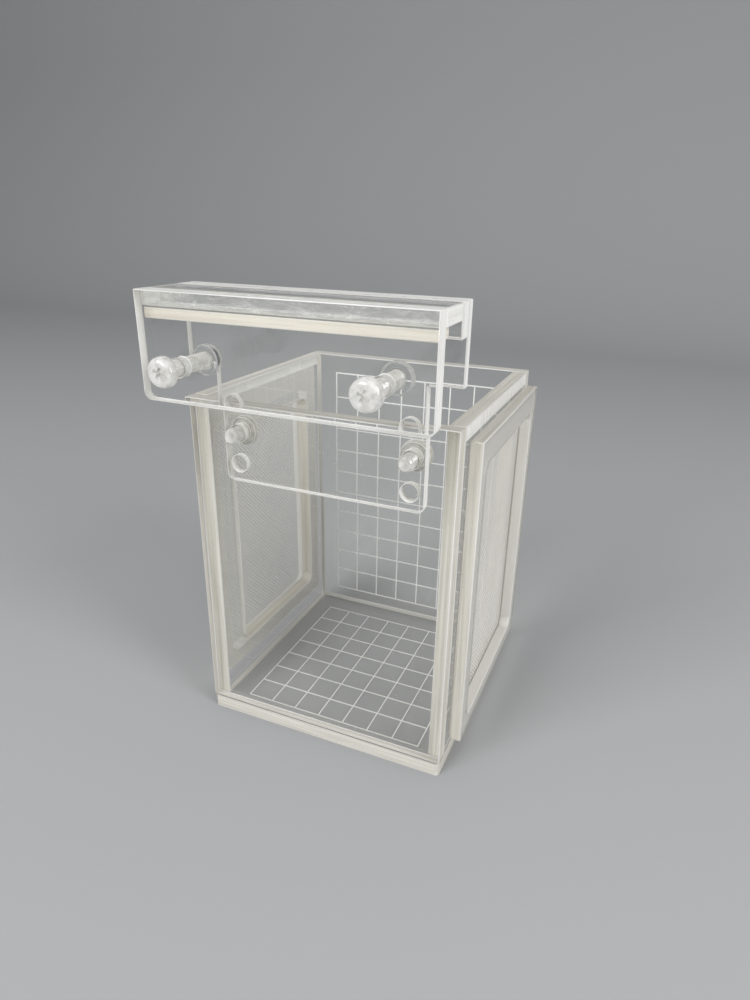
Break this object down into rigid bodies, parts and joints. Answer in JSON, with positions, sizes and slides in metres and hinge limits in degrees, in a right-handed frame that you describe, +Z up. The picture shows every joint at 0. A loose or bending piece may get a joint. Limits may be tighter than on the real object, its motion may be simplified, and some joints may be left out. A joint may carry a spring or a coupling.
{
  "type": "fish breeding box",
  "caption": "Clear open-topped fish breeding box with net windows in its sides, hung on a tank rim by a clear hanger with clamp screws.",
  "frame": {"origin": "the middle of the whole object's outline from side to side and from front to back, on the plane that the floor plate stands on", "axes": "+X right, +Y from the hanger towards the back wall, +Z up"},
  "size_m": [0.101, 0.1278, 0.1583],
  "materials": {
    "clear_plastic": "clear cast acrylic with sawn, frosted cream edges",
    "net": "fine white woven mesh",
    "nylon": "translucent natural nylon"
  },
  "bodies": {
    "box": {"floor_plate": "clear_plastic", "back_wall": "clear_plastic", "front_wall": "clear_plastic", "left_wall": "clear_plastic", "right_wall": "clear_plastic", "left_net": "net", "right_net": "net", "left_frame": "clear_plastic", "right_frame": "clear_plastic", "hanger_rear_plate": "clear_plastic", "hanger_rear_strip": "clear_plastic", "hanger_top_bar": "clear_plastic", "hanger_lower_strip": "clear_plastic", "hanger_front_plate": "clear_plastic"},
    "left_pad": {"clamp_pad_left": "clear_plastic"},
    "right_pad": {"clamp_pad_right": "clear_plastic"},
    "left_clamp_screw": {"clamp_screw_left": "nylon"},
    "right_clamp_screw": {"clamp_screw_right": "nylon"},
    "left_height_screw": {"height_screw_left": "nylon"},
    "right_height_screw": {"height_screw_right": "nylon"}
  },
  "joints": [
    {"name": "clamp_pad_left_slide", "type": "slide", "parent": "box", "child": "left_pad", "axis": [0, 1, 0], "range_m": [-0.009, 0.0044]},
    {"name": "clamp_screw_left_turn", "type": "hinge", "parent": "left_pad", "child": "left_clamp_screw", "pos_m": [-0.0273, -0.0383, 0.1383], "axis": [0, 1, 0], "range_deg": [-4051, 1981]},
    {"name": "clamp_pad_right_slide", "type": "slide", "parent": "box", "child": "right_pad", "axis": [0, 1, 0], "range_m": [-0.0066, 0.0068]},
    {"name": "clamp_screw_right_turn", "type": "hinge", "parent": "right_pad", "child": "right_clamp_screw", "pos_m": [0.0323, -0.0407, 0.1395], "axis": [0, 1, 0], "range_deg": [-2971, 3061]},
    {"name": "height_screw_left_slide", "type": "slide", "parent": "box", "child": "left_height_screw", "axis": [0, 1, 0], "range_m": [0, 0.0096]},
    {"name": "height_screw_right_slide", "type": "slide", "parent": "box", "child": "right_height_screw", "axis": [0, 1, 0], "range_m": [0, 0.0096]}
  ],
  "couplings": [
    {"joint": "clamp_screw_left_turn", "follows": "clamp_pad_left_slide", "rad_per_m": 7854},
    {"joint": "clamp_screw_right_turn", "follows": "clamp_pad_right_slide", "rad_per_m": 7854}
  ]
}
